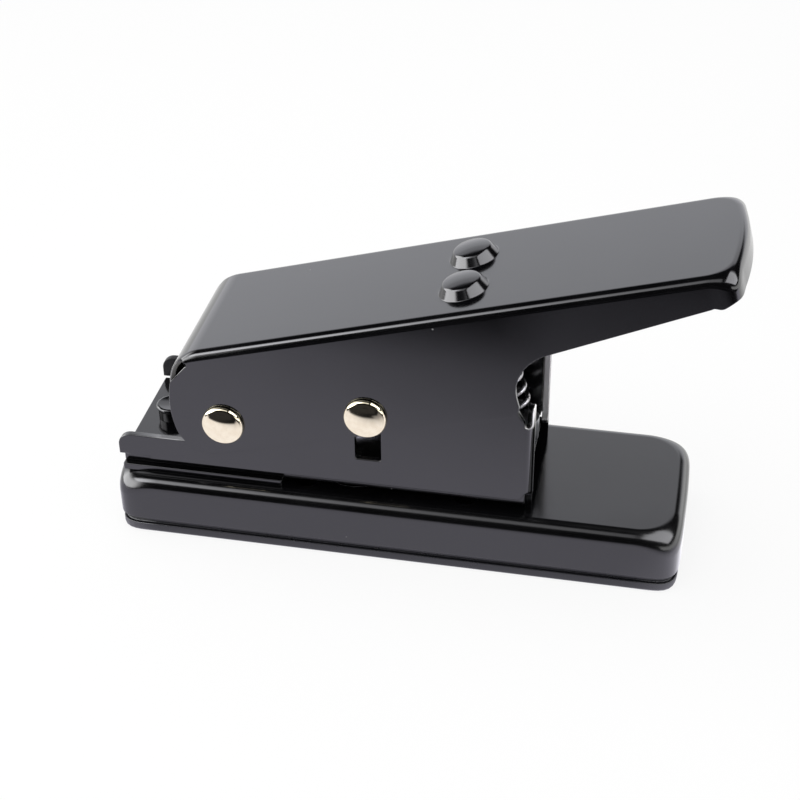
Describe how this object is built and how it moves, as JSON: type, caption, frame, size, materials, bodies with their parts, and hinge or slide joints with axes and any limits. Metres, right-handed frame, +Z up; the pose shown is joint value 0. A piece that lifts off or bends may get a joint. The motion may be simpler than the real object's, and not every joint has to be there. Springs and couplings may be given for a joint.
{
  "type": "guitar pick punch",
  "caption": "Black pressed-steel lever punch that cuts pick-shaped pieces from plastic cards: hinged handle with return springs over a slotted frame and a hollow base.",
  "frame": {"origin": "middle of the base's underside, on the table", "axes": "+X from the rear towards the handle's tip, +Y towards the far side, +Z up"},
  "size_m": [0.1359, 0.04, 0.0796],
  "materials": {
    "black_paint": "satin black baked paint on pressed steel",
    "nickel": "polished nickel plate",
    "tool_steel": "ground hardened steel",
    "zinc_steel": "bright zinc plate",
    "spring_steel": "bright drawn wire",
    "black_plastic": "moulded soft plastic"
  },
  "bodies": {
    "cover": {"bottom_cover": "black_plastic"},
    "base": {"base_shell": "black_paint", "spacer_plate": "black_paint", "die_plate": "tool_steel", "die_rivets": "zinc_steel", "frame": "black_paint", "guide_plate": "black_paint", "guide_rivets": "zinc_steel", "rear_post": "black_paint", "spring_seats": "zinc_steel", "pivot_pin": "nickel", "pivot_pin_cap": "nickel", "pivot_spacer_tube": "zinc_steel", "return_spring_near": "spring_steel", "return_spring_far": "spring_steel"},
    "handle": {"handle": "black_paint"},
    "punch": {"punch": "tool_steel", "punch_yoke": "zinc_steel", "yoke_screws": "zinc_steel", "drive_pin": "nickel", "drive_pin_cap": "nickel"}
  },
  "joints": [
    {"name": "base_lift", "type": "slide", "parent": "cover", "child": "base", "axis": [0, 0, 1], "range_m": [0, 0.012]},
    {"name": "handle_pivot", "type": "hinge", "parent": "base", "child": "handle", "pos_m": [-0.0368, 0, 0.0315], "axis": [0, 1, 0], "range_deg": [0, 15], "stiffness_Nm_per_rad": 6, "springref_deg": -5.73, "deforming": ["return_spring_near", "return_spring_far"]},
    {"name": "punch_slide", "type": "slide", "parent": "base", "child": "punch", "axis": [0, 0, -1], "range_m": [0, 0.00843]}
  ],
  "couplings": [
    {"joint": "punch_slide", "follows": "handle_pivot", "m_per_rad": 0.032193}
  ]
}
